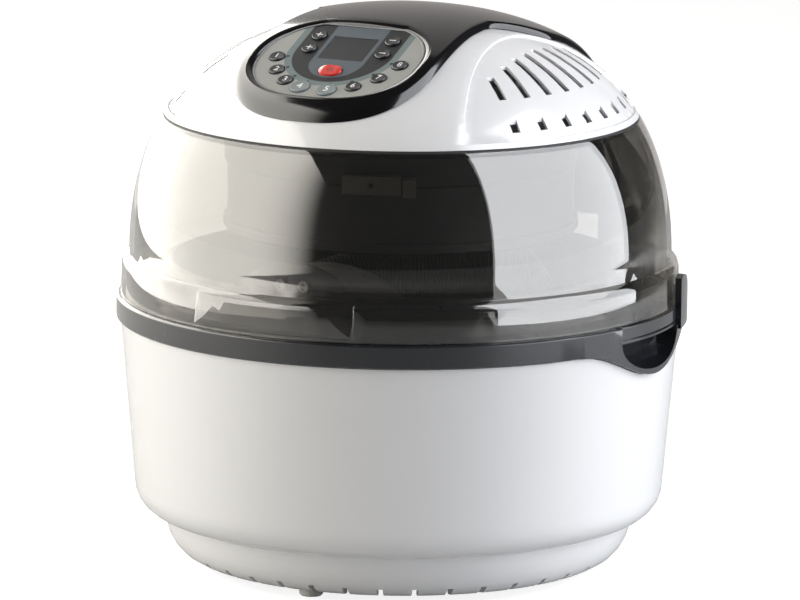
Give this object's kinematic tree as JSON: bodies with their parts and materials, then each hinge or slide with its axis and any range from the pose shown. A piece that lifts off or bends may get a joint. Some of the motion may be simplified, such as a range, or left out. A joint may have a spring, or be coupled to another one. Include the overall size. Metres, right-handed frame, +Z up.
{
  "type": "halogen oven",
  "caption": "Round counter-top halogen oven with a smoked dome lid hinged at the rear, a rotating perforated drum and a sloping key panel on top.",
  "frame": {"origin": "on the surface it stands on, under the middle of the overall footprint; the pot's upright axis is 12 mm in front of it", "axes": "+Z up, -Y the front with the panel and the lid's pull, +X the side with the release bar"},
  "size_m": [0.337, 0.3618, 0.3335],
  "materials": {
    "white_shell": "smooth gloss white moulded plastic",
    "dark_grey_plastic": "fine-textured dark grey plastic",
    "gloss_black": "piano black, polished",
    "smoked_window": "clear smoked polycarbonate",
    "gasket_black": "matt black seal",
    "steel_sheet": "plain sheet steel",
    "nonstick_pot": "dark non-stick coating with a bright rim",
    "drum_steel": "perforated stainless sheet",
    "screw_steel": "zinc-plated steel",
    "housing_black": "satin black heat-proof paint",
    "heater_glass": "frosted quartz tube",
    "motor_metal": "lacquered laminations",
    "fan_metal": "pressed aluminium",
    "fascia_grey": "satin light grey with printed bands",
    "key_black": "gloss black keys",
    "key_grey": "grey keys",
    "power_red": "red key",
    "display_black": "dark display glass",
    "keypad_rubber": "silicone keypad",
    "board_green": "circuit board",
    "foot_grey": "pale rubber",
    "sensor_metal": "sensor bracket"
  },
  "bodies": {
    "base": {"base_pan": "white_shell", "feet": "foot_grey", "base_screws": "screw_steel", "body_shell": "white_shell", "rim_ring": "dark_grey_plastic", "heat_shield": "steel_sheet", "inner_pot": "nonstick_pot", "bearing_hangers": "steel_sheet", "ear_screws": "screw_steel", "drive_motor": "motor_metal", "motor_bracket": "steel_sheet", "hinge_base": "dark_grey_plastic", "hinge_pin": "screw_steel", "hinge_spring": "screw_steel", "cord_gland": "gasket_black"},
    "drum": {"drum_wall": "drum_steel", "drum_front_disc": "drum_steel", "drum_rear_disc": "drum_steel", "drive_shaft": "screw_steel"},
    "lid": {"lid_window": "smoked_window", "seam_gasket": "gasket_black", "lid_crown": "white_shell", "divider_plate": "steel_sheet", "heater_housing": "housing_black", "housing_band": "housing_black", "guard_grille": "steel_sheet", "reflector": "steel_sheet", "heating_tube": "heater_glass", "tube_clips": "steel_sheet", "temperature_sensor": "sensor_metal", "fan_motor": "motor_metal", "console": "gloss_black", "hinge_cover": "gloss_black", "hinge_arm": "gloss_black", "console_trim": "fascia_grey", "control_fascia": "fascia_grey", "display": "display_black", "keypad": "keypad_rubber", "control_board": "board_green"},
    "fans": {"fan_shaft": "screw_steel", "hot_air_fan": "fan_metal", "cooling_fan": "gloss_black"},
    "release": {"release_bar": "dark_grey_plastic"},
    "key_1": {"key_1": "key_black"},
    "key_2": {"key_2": "key_black"},
    "key_3": {"key_3": "key_black"},
    "key_4": {"key_4": "key_grey"},
    "key_5": {"key_5": "key_grey"},
    "key_6": {"key_6": "key_black"},
    "key_7": {"key_7": "key_black"},
    "key_8": {"key_8": "key_black"},
    "key_temp_up": {"key_temp_up": "key_black"},
    "key_temp_down": {"key_temp_down": "key_black"},
    "key_time_up": {"key_time_up": "key_black"},
    "key_time_down": {"key_time_down": "key_black"},
    "key_power": {"key_power": "power_red"}
  },
  "joints": [
    {"name": "lid_hinge", "type": "hinge", "parent": "base", "child": "lid", "pos_m": [0, 0.168, 0.196], "axis": [-1, 0, 0], "range_deg": [0, 80]},
    {"name": "drum_spin", "type": "hinge", "parent": "base", "child": "drum", "pos_m": [0, -0.012, 0.1215], "axis": [0, 1, 0], "continuous": true},
    {"name": "fan_spin", "type": "hinge", "parent": "lid", "child": "fans", "pos_m": [0, -0.012, 0.24], "axis": [0, 0, 1], "continuous": true},
    {"name": "lid_release", "type": "slide", "parent": "base", "child": "release", "axis": [-1, 0, 0], "range_m": [0, 0.004], "stiffness_N_per_m": 400, "springref_m": -0.002},
    {"name": "key_1_press", "type": "slide", "parent": "lid", "child": "key_1", "axis": [0, 0.4115, -0.9114], "range_m": [0, 0.0008], "stiffness_N_per_m": 300, "springref_m": -0.0003},
    {"name": "key_2_press", "type": "slide", "parent": "lid", "child": "key_2", "axis": [0, 0.4115, -0.9114], "range_m": [0, 0.0008], "stiffness_N_per_m": 300, "springref_m": -0.0003},
    {"name": "key_3_press", "type": "slide", "parent": "lid", "child": "key_3", "axis": [0, 0.4115, -0.9114], "range_m": [0, 0.0008], "stiffness_N_per_m": 300, "springref_m": -0.0003},
    {"name": "key_4_press", "type": "slide", "parent": "lid", "child": "key_4", "axis": [0, 0.4115, -0.9114], "range_m": [0, 0.0008], "stiffness_N_per_m": 300, "springref_m": -0.0003},
    {"name": "key_5_press", "type": "slide", "parent": "lid", "child": "key_5", "axis": [0, 0.4115, -0.9114], "range_m": [0, 0.0008], "stiffness_N_per_m": 300, "springref_m": -0.0003},
    {"name": "key_6_press", "type": "slide", "parent": "lid", "child": "key_6", "axis": [0, 0.4115, -0.9114], "range_m": [0, 0.0008], "stiffness_N_per_m": 300, "springref_m": -0.0003},
    {"name": "key_7_press", "type": "slide", "parent": "lid", "child": "key_7", "axis": [0, 0.4115, -0.9114], "range_m": [0, 0.0008], "stiffness_N_per_m": 300, "springref_m": -0.0003},
    {"name": "key_8_press", "type": "slide", "parent": "lid", "child": "key_8", "axis": [0, 0.4115, -0.9114], "range_m": [0, 0.0008], "stiffness_N_per_m": 300, "springref_m": -0.0003},
    {"name": "key_temp_up_press", "type": "slide", "parent": "lid", "child": "key_temp_up", "axis": [0, 0.4115, -0.9114], "range_m": [0, 0.0008], "stiffness_N_per_m": 300, "springref_m": -0.0003},
    {"name": "key_temp_down_press", "type": "slide", "parent": "lid", "child": "key_temp_down", "axis": [0, 0.4115, -0.9114], "range_m": [0, 0.0008], "stiffness_N_per_m": 300, "springref_m": -0.0003},
    {"name": "key_time_up_press", "type": "slide", "parent": "lid", "child": "key_time_up", "axis": [0, 0.4115, -0.9114], "range_m": [0, 0.0008], "stiffness_N_per_m": 300, "springref_m": -0.0003},
    {"name": "key_time_down_press", "type": "slide", "parent": "lid", "child": "key_time_down", "axis": [0, 0.4115, -0.9114], "range_m": [0, 0.0008], "stiffness_N_per_m": 300, "springref_m": -0.0003},
    {"name": "key_power_press", "type": "slide", "parent": "lid", "child": "key_power", "axis": [0, 0.4115, -0.9114], "range_m": [0, 0.0008], "stiffness_N_per_m": 300, "springref_m": -0.0003}
  ]
}
